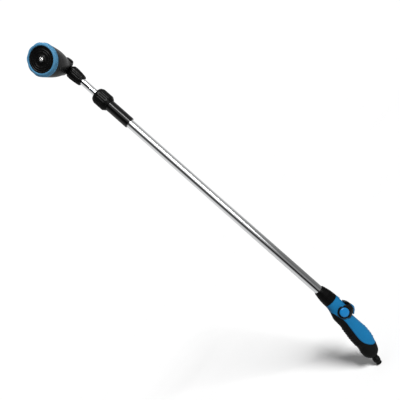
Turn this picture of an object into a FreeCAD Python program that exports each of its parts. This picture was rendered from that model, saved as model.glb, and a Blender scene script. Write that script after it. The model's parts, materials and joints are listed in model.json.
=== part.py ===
"""Telescopic watering wand with a thumb valve, a twist lock and a pivoting spray head.

Three frames are used, all in millimetres:
  tube frame    +Z up the wand's tube, its origin level with the hose plug's end
  handle frame  from the hose plug's end to the valve, leaning back from the tube
  head frame    origin at the knuckle, +X along the knuckle pin, +Z out of the spray face
"""

import FreeCAD, Part
import os
import re
import Sketcher

SIZES = {
    # frames
    "axis_offset": 31.2,        # hose plug's end to the tube axis
    "valve_height": 136.2,
    "knuckle_height": 927,
    "head_roll": -14.8,         # knuckle pin's turn about the tube
    "head_tilt": 87.7,          # spray axis from the tube's direction
    "running_gap": 0.07,        # radial, for turning and sliding fits
    "part_gap": 0.35,           # between neighbours that move apart
    "groove_ease": 0.06,        # each side of an O-ring in its groove
    # outer tube and its nose collar
    "outer_radius": 10,
    "outer_wall": 0.8,
    "outer_bottom": 159,
    "outer_top": 806,
    "nose_bottom": 167.1,
    "nose_waist": 184,
    "nose_top": 200.6,
    "nose_root_radius": 16.7,
    "nose_waist_radius": 15.5,
    "nose_mouth_radius": 11.8,
    "spigot_radius": 12.6,
    "spigot_top": 177,
    "seal_height": 178.4,
    "seal_thick": 1.1,
    # lock sleeve, collet and twist collar
    "sleeve_radius": 12.7,
    "sleeve_bottom": 742.5,
    "collar_bottom": 800,
    "collar_shoulder": 807,
    "collar_crown": 831.5,
    "collar_top": 838.8,
    "collar_radius": 18.5,
    "collar_crown_radius": 16.2,
    "collet_flange": 4,
    "collet_top": 833,
    "collet_root_radius": 11.2,
    "collet_tip_radius": 10.1,
    "collet_slot": 1.6,
    "collar_groove": 1.5,
    "gland_height": 808.6,
    "gland_thick": 0.8,
    # inner tube and piston bush
    "inner_radius": 7.75,
    "inner_wall": 0.7,
    "inner_bottom": 250,
    "inner_top": 905,
    "clip_height": 2,
    "clip_radius": 8.7,
    "bush_bottom": 253,
    "bush_length": 20,
    "piston_height": 268,
    "piston_thick": 0.45,
    # tapered neck and knuckle
    "neck_bottom": 878.8,
    "neck_bottom_radius": 12,
    "neck_shoulder": 905,
    "neck_shoulder_radius": 14.5,
    "neck_top": 912,
    "neck_top_radius": 12.4,
    "neck_seal_height": 890,
    "neck_seal_thick": 0.7,
    "barrel_radius": 9.6,
    "barrel_half": 9.1,
    "stem_half": 7.6,
    "ear_radius": 10.7,
    "ear_half": 16.6,
    "ear_web_half": 9,
    "ear_web_depth": 18,
    "pin_radius": 5.5,
    "pin_bore": 3.6,
    "pin_port": 2.2,
    "pin_port_offset": 10.8,
    "neck_channel": 3.4,
    "pin_seal_offset": 6.6,
    "pin_seal_thick": 0.6,
    "pin_cap_radius": 8.4,
    "pin_cap_crown": 19.2,
    # spray head, along its own axis
    "bell_back": 2,
    "bell_neck": 13,
    "bell_neck_radius": 11.5,
    "bell_waist": 21,
    "bell_waist_radius": 20.5,
    "bell_middle": 34,
    "bell_middle_radius": 24.7,
    "bell_flank": 50,
    "bell_flank_radius": 28.4,
    "bell_front": 85.2,
    "bell_front_radius": 32,
    "bell_shoulder": 66,
    "bell_shoulder_radius": 30.6,
    "bell_wall": 3.6,
    "chamber_top": 77,
    "bearing_radius": 29,
    "bearing_front": 88,
    "ring_back": 85.6,
    "ring_front": 94.4,
    "ring_back_radius": 33.2,
    "ring_belly_radius": 33.2,
    "ring_front_radius": 30.8,
    "ring_scallop": 9,
    "ring_scallop_depth": 0.8,
    "face_radius": 26,
    "face_back": 90.8,
    "face_front": 92.6,
    "pattern_back": 88.6,
    "pattern_front": 90,
    "pattern_radius": 25.2,
    "dial_seal_depth": 86.6,
    "dial_seal_thick": 0.45,
    "screw_radius": 2,
    "screw_recess": 1.5,
    "screw_head_radius": 3.9,
    "screw_head": 2,
    "washer_radius": 5.4,
    "washer_thick": 0.8,
    "boss_radius": 5.4,
    "port_offset": 17,
    "port_radius": 4.2,
    "detent_offset": 21.4,
    "spray_hole": 0.65,
    "pattern_port": 2,
    "detent_bore": 2.1,
    "detent_ball": 1.95,
    "ear_channel": 1.5,
    "ear_channel_offset": 11.4,
    # thumb valve
    "spool_radius": 7.5,
    "spool_half": 17,
    "liner_radius": 9.4,
    "liner_half": 14,
    "spool_seal_offset": 11.2,
    "spool_seal_thick": 0.6,
    "water_bore": 5,
    "spool_way": 3.6,
    "outlet_shift": -4.5,
    "side_disc_radius": 14,
    "side_disc_inner": 17,
    "side_disc_outer": 20,
    "cap_radius": 10.9,
    "cap_crown": 22.6,
    "lever_well": 17.2,
    "lever_reach": 26,
    "ramp_half": 8,
    "lever_half": 20,
    "pad_half": 18.5,
    "lever_screw_radius": 1.6,
    "lever_screw_head": 3.2,
    "lever_screw_depth": 5,
    # hose end, in the handle frame
    "plug_nose": 6,
    "plug_nose_radius": 6.6,
    "plug_band": 15.2,
    "plug_radius": 7.9,
    "plug_neck_radius": 5.6,
    "plug_root": 36,
    "plug_bore": 3.6,
    "plug_flute": 0.9,
    "insert_bottom": 22,
    "insert_top": 50,
    "insert_radius": 8.6,
    "pipe_radius": 4.6,
    "pipe_wall": 1.2,
    "flow_cavity": 7.2,
    "filter_pitch": 1.5,
    "filter_hole": 0.5,
}

# Handle sections: height, back and front measured from the tube axis, half width.
HANDLE_SECTIONS = [
    (18.2, -20.8, -30.8, 4.6),
    (21.2, -12.8, -34.2, 9.4),
    (25.5, -8.2, -38.4, 13),
    (33, -4, -41.6, 15),
    (42, -0.2, -41.2, 16),
    (53, 3.9, -37.8, 16.3),
    (66, 6.8, -36.4, 16.4),
    (81, 8.3, -34.8, 16.3),
    (96, 8.2, -31.4, 16),
    (112, 8.4, -28, 16),
    (124, 9.6, -27, 16.2),
    (134, 12.6, -26.4, 16.4),
    (142, 15.4, -23.4, 16.5),
    (150, 17, -20, 16.6),
    (158, 17.2, -17.8, 16.6),
    (167.1, 16.6, -16.4, 16.5),
]

# Edge between the blue back and the soft black front, as height and offset from the tube axis.
GRIP_EDGE = [
    (154, -18),
    (145, -16.8),
    (136.4, -15.2),
    (128, -13.8),
    (118.4, -13.6),
    (106.5, -15.7),
    (94.8, -18),
    (83, -20.3),
    (73.6, -21.8),
    (64.3, -21.8),
    (56.4, -19.6),
    (49.3, -15.6),
    (43.4, -10.6),
    (39.6, -5.4),
    (36, 6),
]

# Outlines in the valve's plane, as offset and height from the valve's axis.
OUTLINES = {
    "bridge": [
        (6.4, -14.4),
        (9.4, -14.4),
        (17.2, -8),
        (20.4, -4),
        (20.8, 0.4),
        (16.4, 0.4),
        (12, -6),
    ],
    "ramp": [(14, 0), (20.8, -3), (23.4, 0.6), (22.3, 5.5), (19, 11.4), (16.5, 15.4)],
    "arms": [
        (-5, -13.2),
        (0.5, -16.9),
        (5.5, -16.6),
        (9.4, -14.4),
        (17.2, -8),
        (20.4, -4),
        (20.8, 0.4),
        (17.4, 0.4),
        (15, 6),
        (2, 13),
    ],
    "pad": [
        (9.4, -14.4),
        (12.2, -15.6),
        (19.8, -10.6),
        (23.4, -5.6),
        (23.8, -1.6),
        (20.7, 0),
        (20.4, -4),
        (17.2, -8),
    ],
}

# Rings of spray holes: how many, and how far from the spray axis.
SPRAY_RINGS = [(6, 8.5), (12, 12.5), (16, 17), (24, 21.5)]

TUBE = "placement(vector(axis_offset; 0; 0); rotation(0; 0; 0))"
HANDLE = "placement(vector(0; 0; 0); rotation(vector(0; 1; 0); atan(axis_offset / valve_height)))"
HEAD = (
    "placement(vector(axis_offset; 0; knuckle_height);"
    " rotation(vector(0; 0; 1); head_roll) * rotation(vector(1; 0; 0); head_tilt))"
)
VALVE = "placement(vector(axis_offset; 0; valve_height); rotation(vector(1; 0; 0); 90))"
VALVE_PLANE = "placement(vector(axis_offset; 0; valve_height); rotation(0; 0; 0))"
KNUCKLE = (
    "placement(vector(axis_offset; 0; knuckle_height);"
    " rotation(vector(0; 0; 1); head_roll) * rotation(vector(0; 1; 0); 90))"
)

doc = FreeCAD.newDocument("WateringWand")
sheet = doc.addObject("Spreadsheet::Sheet", "Sizes")
subparts = []


def fill_sheet():
    """Write every driving dimension to the sheet, with its alias."""
    rows = dict(SIZES)
    for index, section in enumerate(HANDLE_SECTIONS):
        for word, value in zip(("level", "back", "front", "half"), section):
            rows[f"{word}_{index}"] = value
    for index, (height, offset) in enumerate(GRIP_EDGE):
        rows[f"edge_level_{index}"] = height
        rows[f"edge_offset_{index}"] = offset
    for word, corners in OUTLINES.items():
        for index, (offset, height) in enumerate(corners):
            rows[f"{word}_offset_{index}"] = offset
            rows[f"{word}_height_{index}"] = height
    for index, (count, radius) in enumerate(SPRAY_RINGS):
        rows[f"spray_count_{index}"] = count
        rows[f"spray_radius_{index}"] = radius
    for line, (alias, value) in enumerate(rows.items(), start=1):
        sheet.set(f"A{line}", alias)
        sheet.set(f"B{line}", str(value))
        sheet.setAlias(f"B{line}", alias)
    doc.recompute()
    return re.compile(r"\b(" + "|".join(sorted(rows, key=len, reverse=True)) + r")\b")


ALIASES = fill_sheet()


def bound(text):
    """Turn a formula of size names into an expression on the sheet."""
    return ALIASES.sub(lambda match: "Sizes." + match.group(0), text)


def primitive(kind, name, at=None, frame=None, **formulas):
    """A Part primitive with its sizes, and its place, bound to the sheet."""
    solid = doc.addObject("Part::" + kind, name)
    for size, formula in formulas.items():
        solid.setExpression(size, bound(formula))
    if frame:
        solid.setExpression("Placement", bound(frame))
    elif at:
        for letter, formula in zip("xyz", at):
            solid.setExpression("Placement.Base." + letter, bound(formula))
    return solid


def tube_along(frame, name, radius, low, high):
    """A cylinder along the frame's Z, between two heights."""
    place = f"{frame} * placement(vector(0; 0; {low}); rotation(0; 0; 0))"
    return primitive("Cylinder", name, frame=place, Radius=radius, Height=f"{high} - ({low})")


def ring(frame, name, centre_radius, thick, height):
    """An O-ring about the frame's Z."""
    place = f"{frame} * placement(vector(0; 0; {height}); rotation(0; 0; 0))"
    return primitive("Torus", name, frame=place, Radius1=centre_radius, Radius2=thick)


def fuse(name, *solids):
    result = doc.addObject("Part::MultiFuse", name)
    result.Shapes = list(solids)
    return result


def cut(name, base, *tools):
    result = doc.addObject("Part::Cut", name)
    result.Base = base
    result.Tool = tools[0] if len(tools) == 1 else fuse(name + "_tools", *tools)
    return result


def common(name, first, second):
    result = doc.addObject("Part::Common", name)
    result.Base = first
    result.Tool = second
    return result


def outline_sketch(body, name, plane, points):
    """A closed sketch of straight edges whose corners are bound to the sheet."""
    sketch = body.newObject("Sketcher::SketchObject", name)
    support = next(item for item in body.Origin.OriginFeatures if item.Role == plane)
    sketch.AttachmentSupport = [(support, "")]
    sketch.MapMode = "FlatFace"
    count = len(points)
    start = [FreeCAD.Vector(index + 1, (index + 1) ** 2, 0) for index in range(count)]
    for index in range(count):
        edge = Part.LineSegment(start[index], start[(index + 1) % count])
        sketch.addGeometry(edge, False)
    for index in range(count):
        sketch.addConstraint(Sketcher.Constraint("Coincident", index, 2, (index + 1) % count, 1))
    for index, corner in enumerate(points):
        for kind, formula, value in zip(("DistanceX", "DistanceY"), corner, start[index]):
            number = sketch.addConstraint(Sketcher.Constraint(kind, -1, 1, index, 1, value))
            sketch.setExpression(f"Constraints[{number}]", bound(formula))
    return sketch


def turned(name, frame, points):
    """A body of revolution about the frame's Z, from (radius, height) corners."""
    body = doc.addObject("PartDesign::Body", name)
    sketch = outline_sketch(body, name + "_profile", "XZ_Plane", points)
    solid = body.newObject("PartDesign::Revolution", name + "_turned")
    solid.Profile = sketch
    solid.ReferenceAxis = (sketch, ["V_Axis"])
    solid.Angle = 360
    body.setExpression("Placement", bound(frame))
    return body


def plate(name, frame, points, half_width):
    """A plate cut to an outline in the frame's XZ plane and as thick to each side of it."""
    body = doc.addObject("PartDesign::Body", name)
    sketch = outline_sketch(body, name + "_profile", "XZ_Plane", points)
    solid = body.newObject("PartDesign::Pad", name + "_pad")
    solid.Profile = sketch
    solid.setExpression("Length", bound(f"2 * ({half_width})"))
    solid.Midplane = True
    body.setExpression("Placement", bound(frame))
    return body


def coil(name, frame, radius, wire, low, pitch, turns):
    """A compression spring about the frame's Z."""
    path = primitive("Helix", name + "_path", Radius=radius, Pitch=pitch, Height=f"{pitch} * {turns}")
    section = primitive("Circle", name + "_wire", Radius=wire)
    section.setExpression(
        "Placement",
        bound(f"placement(vector({radius}; 0; 0); rotation(vector(1; 0; 0); 90))"),
    )
    spring = doc.addObject("Part::Sweep", name)
    spring.Sections = [section]
    spring.Spine = (path, [])
    spring.Solid = True
    spring.Frenet = True
    spring.setExpression(
        "Placement", bound(f"{frame} * placement(vector(0; 0; {low}); rotation(0; 0; 0))")
    )
    return spring


def keep(name, solid):
    """Name a finished piece and list it for export."""
    solid.Label = name
    subparts.append(solid)
    return solid


def washer(frame, name, inner, outer, low, high):
    return turned(name, frame, [(inner, low), (outer, low), (outer, high), (inner, high)])


# ---------------------------------------------------------------- handle


def handle_solid(name):
    """The whole grip as one smooth loft through elliptical sections."""
    sections = []
    for index in range(len(HANDLE_SECTIONS)):
        sections.append(
            primitive(
                "Ellipse",
                f"{name}_section_{index}",
                at=(
                    f"axis_offset + (back_{index} + front_{index}) / 2",
                    "0",
                    f"level_{index}",
                ),
                MajorRadius=f"(back_{index} - front_{index}) / 2",
                MinorRadius=f"half_{index}",
            )
        )
    loft = doc.addObject("Part::Loft", name)
    loft.Sections = sections
    loft.Solid = True
    loft.Ruled = False
    return loft


def grip_region(name):
    """Everything in front of the edge between the blue back and the black front."""
    reach = "60"
    frame = f"placement(vector(axis_offset - {reach}; 0; 0); rotation(0; 0; 0))"
    corners = [("0", "edge_level_0")]
    for index in range(len(GRIP_EDGE)):
        corners.append((f"{reach} + edge_offset_{index}", f"edge_level_{index}"))
    corners += [(f"{reach} + 12", "0"), ("0", "0")]
    return plate(name, frame, corners, "30")


def lever_path(name, half_width, low_angle, high_angle):
    """Room for the lever behind the valve, as a sector about the valve's axis."""
    sweep = f"{high_angle} - ({low_angle})"
    turn = (
        f"{VALVE} * placement(vector(0; 0; 0 - ({half_width})); rotation(vector(0; 0; 1); {low_angle}))"
    )
    outer = primitive(
        "Cylinder", name + "_outer", frame=turn, Radius="lever_reach", Height=f"2 * {half_width}", Angle=sweep
    )
    core = primitive(
        "Cylinder", name + "_core", frame=turn, Radius="lever_well", Height=f"2 * {half_width}"
    )
    return cut(name, outer, core)


def handle_hollows(name):
    """Bores and cavities that both handle pieces share."""
    return [
        tube_along(VALVE, name + "_valve_bore", "liner_radius", "-20", "20"),
        tube_along(HANDLE, name + "_cavity", "flow_cavity", "insert_top", "valve_height - 2"),
        tube_along(HANDLE, name + "_insert_seat", "insert_radius", "insert_bottom", "insert_top"),
        tube_along(HANDLE, name + "_mouth", "plug_neck_radius + 0.6", "10", "insert_bottom"),
        tube_along(
            f"{TUBE} * placement(vector(outlet_shift; 0; 0); rotation(0; 0; 0))",
            name + "_outlet",
            "water_bore",
            "valve_height",
            "outer_bottom",
        ),
        tube_along(TUBE, name + "_tube_seat", "outer_radius", "outer_bottom", "220"),
        lever_path(name + "_lever_room", "side_disc_outer + part_gap", "-64", "43.5"),
        lever_path(name + "_ramp_room", "ramp_half + part_gap", "40", "86"),
    ]


def make_handle():
    spigot = tube_along(TUBE, "spigot", "spigot_radius", "nose_bottom - 4", "spigot_top")
    shell = cut("handle_core", handle_solid("handle_loft"), grip_region("shell_region"))
    whole = fuse("handle_with_spigot", shell, spigot)
    keep("handle_shell", cut("handle_shell", whole, *handle_hollows("shell")))
    front = common("grip_core", handle_solid("grip_loft"), grip_region("front_region"))
    keep("soft_grip", cut("soft_grip", front, *handle_hollows("grip")))


def make_nose():
    bore = "outer_radius"
    nut = turned(
        "nose_collar",
        TUBE,
        [
            (bore, "seal_height + 1.4"),
            (bore, "nose_top - 1"),
            ("nose_mouth_radius - 0.4", "nose_top"),
            ("nose_mouth_radius", "nose_top - 0.6"),
            ("nose_waist_radius", "nose_waist"),
            ("nose_root_radius", "nose_bottom + 2"),
            ("nose_root_radius", "nose_bottom"),
            ("spigot_radius", "nose_bottom"),
            ("spigot_radius", "seal_height + 1.4"),
        ],
    )
    keep("nose_collar", nut)
    keep("tube_seal", ring(TUBE, "tube_seal", "outer_radius + seal_thick", "seal_thick", "seal_height"))


def make_outer_tube():
    inner = "outer_radius - outer_wall"
    keep("outer_tube", washer(TUBE, "outer_tube", inner, "outer_radius", "outer_bottom", "outer_top"))


def make_lock():
    sleeve = turned(
        "lock_sleeve",
        TUBE,
        [
            ("outer_radius", "sleeve_bottom"),
            ("sleeve_radius - 0.6", "sleeve_bottom"),
            ("sleeve_radius", "sleeve_bottom + 0.8"),
            ("sleeve_radius", "outer_top"),
            ("outer_radius", "outer_top"),
        ],
    )
    keep("lock_sleeve", sleeve)
    bore = "inner_radius + running_gap"
    collet = turned(
        "collet_blank",
        TUBE,
        [
            (bore, "outer_top"),
            ("collet_root_radius + 0.3", "outer_top"),
            ("collet_root_radius + 0.3", "outer_top + collet_flange"),
            ("collet_root_radius", "outer_top + collet_flange"),
            ("collet_tip_radius", "collet_top"),
            (bore, "collet_top"),
            (bore, "gland_height + gland_thick"),
            (f"{bore} + 2 * gland_thick", "gland_height + gland_thick"),
            (f"{bore} + 2 * gland_thick", "gland_height - gland_thick"),
            (bore, "gland_height - gland_thick"),
        ],
    )
    slots = []
    for angle in ("0", "90"):
        place = (
            f"{TUBE} * placement(vector(0; 0; 0); rotation(vector(0; 0; 1); {angle}))"
            " * placement(vector(0 - 15; 0 - collet_slot / 2; outer_top + collet_flange + 3);"
            " rotation(0; 0; 0))"
        )
        slots.append(
            primitive(
                "Box", "collet_slot_" + angle, frame=place, Length="30", Width="collet_slot", Height="30"
            )
        )
    keep("split_collet", cut("split_collet", collet, *slots))
    keep("gland_seal", ring(TUBE, "gland_seal", f"{bore} + gland_thick", "gland_thick", "gland_height"))
    collar = turned(
        "collar_blank",
        TUBE,
        [
            ("sleeve_radius + part_gap", "collar_bottom"),
            ("sleeve_radius + 1", "collar_bottom"),
            ("collar_radius - 0.4", "collar_shoulder - 0.4"),
            ("collar_radius", "collar_shoulder"),
            ("collar_radius", "collar_crown"),
            ("collar_crown_radius", "collar_top - 1.4"),
            ("collar_crown_radius - 2.4", "collar_top"),
            ("inner_radius + part_gap", "collar_top"),
            ("inner_radius + part_gap", "collet_top + part_gap"),
            ("collet_tip_radius + part_gap", "collet_top + part_gap"),
            ("sleeve_radius + part_gap", "outer_top + collet_flange + 1"),
        ],
    )
    grooves = []
    for index in range(12):
        place = (
            f"{TUBE} * placement(vector(0; 0; 0); rotation(vector(0; 0; 1); {index * 30}))"
            " * placement(vector(collar_radius + 0.6; 0; collar_shoulder); rotation(0; 0; 0))"
        )
        grooves.append(
            primitive(
                "Cylinder",
                f"collar_groove_{index}",
                frame=place,
                Radius="collar_groove",
                Height="collar_crown - collar_shoulder",
            )
        )
    keep("twist_collar", cut("twist_collar", collar, *grooves))


def make_inner_tube():
    bore = "inner_radius - inner_wall"
    keep("inner_tube", washer(TUBE, "inner_tube", bore, "inner_radius", "inner_bottom", "inner_top"))
    low_clip = washer(
        TUBE, "low_clip", "inner_radius", "clip_radius", "inner_bottom", "inner_bottom + clip_height"
    )
    clip_seat = "bush_bottom + bush_length + part_gap"
    high_clip = washer(
        TUBE, "high_clip", "inner_radius", "clip_radius", clip_seat, f"{clip_seat} + clip_height"
    )
    keep("tube_clips", fuse("tube_clips", low_clip, high_clip))
    bore = "inner_radius + running_gap"
    slide = "outer_radius - outer_wall - running_gap"
    groove = f"{slide} - 2 * piston_thick"
    bush = turned(
        "piston_bush",
        TUBE,
        [
            (bore, "bush_bottom"),
            (f"{slide} - 0.6", "bush_bottom"),
            (slide, "bush_bottom + 1"),
            (slide, "piston_height - piston_thick"),
            (groove, "piston_height - piston_thick"),
            (groove, "piston_height + piston_thick"),
            (slide, "piston_height + piston_thick"),
            (slide, "bush_bottom + bush_length"),
            (bore, "bush_bottom + bush_length"),
        ],
    )
    keep("piston_bush", bush)
    keep("piston_seal", ring(TUBE, "piston_seal", f"{slide} - piston_thick", "piston_thick", "piston_height"))


def make_neck():
    seat = "inner_radius + 2 * neck_seal_thick"
    cone = turned(
        "neck_cone",
        TUBE,
        [
            ("inner_radius", "neck_bottom + 1"),
            ("neck_bottom_radius - 1.2", "neck_bottom"),
            ("neck_bottom_radius", "neck_bottom + 1"),
            ("neck_shoulder_radius", "neck_shoulder"),
            ("neck_shoulder_radius - 0.4", "neck_top - 2"),
            ("neck_top_radius", "neck_top"),
            ("4", "neck_top"),
            ("4", "inner_top"),
            ("inner_radius", "inner_top"),
            ("inner_radius", "neck_seal_height + neck_seal_thick"),
            (seat, "neck_seal_height + neck_seal_thick"),
            (seat, "neck_seal_height - neck_seal_thick"),
            ("inner_radius", "neck_seal_height - neck_seal_thick"),
        ],
    )
    barrel = tube_along(KNUCKLE, "neck_barrel", "barrel_radius", "0 - barrel_half", "barrel_half")
    stem_place = (
        "placement(vector(axis_offset; 0; 0); rotation(vector(0; 0; 1); head_roll))"
        " * placement(vector(0 - barrel_half; 0 - stem_half; neck_top - 1); rotation(0; 0; 0))"
    )
    stem = primitive(
        "Box",
        "neck_stem",
        frame=stem_place,
        Length="2 * barrel_half",
        Width="2 * stem_half",
        Height="knuckle_height - neck_top + 1",
    )
    channel = tube_along(TUBE, "neck_way", "neck_channel", "inner_top", "knuckle_height")
    pin_hole = tube_along(KNUCKLE, "neck_pin_hole", "pin_radius + running_gap", "0 - 20", "20")
    grooves = []
    for side in ("pin_seal_offset", "0 - pin_seal_offset"):
        name = "neck_groove_" + str(len(grooves))
        grooves.append(
            tube_along(
                KNUCKLE,
                name,
                "pin_radius + running_gap + 2 * pin_seal_thick + groove_ease",
                f"{side} - pin_seal_thick - groove_ease",
                f"{side} + pin_seal_thick + groove_ease",
            )
        )
    blank = fuse("neck_blank", cone, barrel, stem)
    keep("pivot_neck", cut("pivot_neck", blank, channel, pin_hole, *grooves))
    neck_seal = ring(
        TUBE, "neck_seal", "inner_radius + neck_seal_thick", "neck_seal_thick", "neck_seal_height"
    )
    keep("neck_seal", neck_seal)


# ---------------------------------------------------------------- spray head


def make_knuckle():
    shaft = tube_along(KNUCKLE, "pin_shaft", "pin_radius", "0 - ear_half", "ear_half")
    bore = tube_along(KNUCKLE, "pin_bore_hole", "pin_bore", "2 - ear_half", "ear_half - 2")
    ports = []
    for index, place in enumerate(("0", "pin_port_offset", "0 - pin_port_offset")):
        frame = f"{KNUCKLE} * placement(vector(0; 0; {place}); rotation(vector(0; 1; 0); 90))"
        ports.append(tube_along(frame, f"pin_way_{index}", "pin_port", "0 - 8", "8"))
    keep("pivot_pin", cut("pivot_pin", shaft, bore, *ports))
    rings = []
    for side in ("pin_seal_offset", "0 - pin_seal_offset"):
        centre = "pin_radius + running_gap + pin_seal_thick"
        rings.append(ring(KNUCKLE, f"pin_ring_{len(rings)}", centre, "pin_seal_thick", side))
    keep("pivot_seals", fuse("pivot_seals", *rings))
    caps = []
    for index, flip in enumerate(("0", "180")):
        frame = f"{KNUCKLE} * placement(vector(0; 0; 0); rotation(vector(1; 0; 0); {flip}))"
        caps.append(
            turned(
                f"pin_cap_{index}",
                frame,
                [
                    ("0", "ear_half"),
                    ("pin_cap_radius", "ear_half"),
                    ("pin_cap_radius", "ear_half + 0.8"),
                    ("pin_cap_radius - 1.6", "pin_cap_crown - 0.6"),
                    ("pin_cap_radius - 4.2", "pin_cap_crown"),
                    ("0", "pin_cap_crown"),
                ],
            )
        )
    keep("pivot_caps", fuse("pivot_caps", *caps))


def make_housing():
    bell = turned(
        "bell",
        HEAD,
        [
            ("0", "bell_back"),
            ("ear_radius - 1.4", "bell_back"),
            ("bell_neck_radius", "bell_neck"),
            ("bell_waist_radius", "bell_waist"),
            ("bell_middle_radius", "bell_middle"),
            ("bell_flank_radius", "bell_flank"),
            ("bell_shoulder_radius", "bell_shoulder"),
            ("bell_front_radius", "bell_front - 1.6"),
            ("bell_front_radius - 0.5", "bell_front"),
            ("bearing_radius", "bell_front"),
            ("bearing_radius", "dial_seal_depth - dial_seal_thick"),
            ("bearing_radius - 2 * dial_seal_thick", "dial_seal_depth - dial_seal_thick"),
            ("bearing_radius - 2 * dial_seal_thick", "dial_seal_depth + dial_seal_thick"),
            ("bearing_radius", "dial_seal_depth + dial_seal_thick"),
            ("bearing_radius", "bearing_front"),
            ("0", "bearing_front"),
        ],
    )
    ears = tube_along(KNUCKLE, "ears", "ear_radius", "0 - ear_half", "ear_half")
    slot_place = (
        f"{HEAD} * placement(vector(0 - barrel_half - part_gap; 0 - 20; 0 - 20); rotation(0; 0; 0))"
    )
    slot = primitive(
        "Box",
        "ear_slot",
        frame=slot_place,
        Length="2 * (barrel_half + part_gap)",
        Width="40",
        Height="20 + ear_radius - 0.4",
    )
    pin_hole = tube_along(KNUCKLE, "ear_pin_hole", "pin_radius", "0 - 20", "20")
    chamber = turned(
        "chamber",
        HEAD,
        [
            ("0", "bell_waist - 4"),
            ("bell_neck_radius - bell_wall", "bell_waist - 2"),
            ("bell_waist_radius - bell_wall", "bell_waist + 6"),
            ("bell_flank_radius - bell_wall", "bell_flank"),
            ("bell_shoulder_radius - bell_wall", "bell_shoulder"),
            ("bell_shoulder_radius - bell_wall", "chamber_top"),
            ("boss_radius", "chamber_top"),
            ("boss_radius", "bell_flank"),
            ("0", "bell_flank"),
        ],
    )
    cuts = [slot, pin_hole, chamber]
    for index, side in enumerate(("ear_channel_offset", "0 - ear_channel_offset")):
        frame = f"{HEAD} * placement(vector({side}; 0; 0); rotation(0; 0; 0))"
        cuts.append(tube_along(frame, f"ear_channel_{index}", "ear_channel", "0", "bell_waist + 4"))
    port = f"{HEAD} * placement(vector(0; 0 - port_offset; 0); rotation(0; 0; 0))"
    detent = f"{HEAD} * placement(vector(0; detent_offset; 0); rotation(0; 0; 0))"
    cuts.append(tube_along(port, "port_seat", "port_radius", "bearing_front - 9", "bearing_front + 1"))
    cuts.append(tube_along(port, "port_throat", "port_radius - 1.6", "chamber_top - 3", "bearing_front"))
    cuts.append(tube_along(detent, "detent_seat", "detent_bore", "bearing_front - 8", "bearing_front + 1"))
    cuts.append(tube_along(HEAD, "screw_bore", "screw_radius", "bearing_front - 14", "bearing_front + 1"))
    web_place = f"{HEAD} * placement(vector(0 - ear_half; 0 - ear_web_half; 0); rotation(0; 0; 0))"
    web = primitive(
        "Box",
        "ear_web",
        frame=web_place,
        Length="2 * ear_half",
        Width="2 * ear_web_half",
        Height="ear_web_depth",
    )
    blank = fuse("housing_blank", bell, ears, web)
    keep("head_housing", cut("head_housing", blank, *cuts))
    seal_back = "bearing_front - 2.6"
    seal_front = "pattern_back - 0.1"
    seal = washer(port, "port_seal", "port_radius - 2", "port_radius - 0.1", seal_back, seal_front)
    keep("port_seal", seal)
    port_low = "bearing_front - 8.4"
    keep("port_spring", coil("port_spring", port, "port_radius - 0.9", "0.4", port_low, "1.05", "5"))
    ball_place = f"{detent} * placement(vector(0; 0; bearing_front - 1.55); rotation(0; 0; 0))"
    keep("detent_ball", primitive("Sphere", "detent_ball", frame=ball_place, Radius="detent_ball"))
    detent_low = "bearing_front - 7.6"
    keep("detent_spring", coil("detent_spring", detent, "1.3", "0.22", detent_low, "0.75", "5"))


def make_dial():
    bore = "bearing_radius + part_gap"
    blank = turned(
        "ring_blank",
        HEAD,
        [
            (bore, "ring_back"),
            ("ring_back_radius - 0.8", "ring_back"),
            ("ring_back_radius", "ring_back + 1"),
            ("ring_belly_radius", "(ring_back + ring_front) / 2"),
            ("ring_front_radius", "ring_front - 1.6"),
            ("ring_front_radius - 1.4", "ring_front"),
            ("face_radius + 0.6", "ring_front"),
            ("face_radius", "face_front + 0.4"),
            ("face_radius", "pattern_back"),
            (bore, "pattern_back"),
        ],
    )
    scallops = []
    for index in range(10):
        place = (
            f"{HEAD} * placement(vector(0; 0; 0); rotation(vector(0; 0; 1); {index * 36}))"
            " * placement(vector(ring_belly_radius + ring_scallop - ring_scallop_depth; 0; ring_back + 1.5);"
            " rotation(0; 0; 0))"
        )
        scallops.append(
            primitive(
                "Cylinder",
                f"ring_scallop_{index}",
                frame=place,
                Radius="ring_scallop",
                Height="ring_front - ring_back",
            )
        )
    keep("dial_ring", cut("dial_ring", blank, *scallops))
    seal_radius = "bearing_radius - dial_seal_thick"
    keep("dial_seal", ring(HEAD, "dial_seal", seal_radius, "dial_seal_thick", "dial_seal_depth"))
    turning_bore = "screw_radius + running_gap"
    face = washer(HEAD, "face_blank", turning_bore, "face_radius", "face_back", "face_front")
    holes = []
    for row, (count, _) in enumerate(SPRAY_RINGS):
        for index in range(count):
            turn = f"{index} * 360 / spray_count_{row}"
            place = (
                f"{HEAD} * placement(vector(0; 0; 0); rotation(vector(0; 0; 1); {turn}))"
                f" * placement(vector(spray_radius_{row}; 0; face_back - 1); rotation(0; 0; 0))"
            )
            holes.append(
                primitive(
                    "Cylinder", f"spray_hole_{count}_{index}", frame=place, Radius="spray_hole", Height="8"
                )
            )
    keep("spray_face", cut("spray_face", face, *holes))
    disc = washer(HEAD, "pattern_blank", turning_bore, "pattern_radius", "pattern_back", "pattern_front")
    ports = []
    for index in range(8):
        place = (
            f"{HEAD} * placement(vector(0; 0; 0); rotation(vector(0; 0; 1); {index * 45 - 90}))"
            " * placement(vector(port_offset; 0; pattern_back - 1); rotation(0; 0; 0))"
        )
        ports.append(
            primitive("Cylinder", f"pattern_port_{index}", frame=place, Radius="pattern_port", Height="8")
        )
    keep("pattern_plate", cut("pattern_plate", disc, *ports))
    keep(
        "pattern_spacer",
        washer(HEAD, "pattern_spacer", turning_bore, "boss_radius", "pattern_front", "face_back"),
    )


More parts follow.
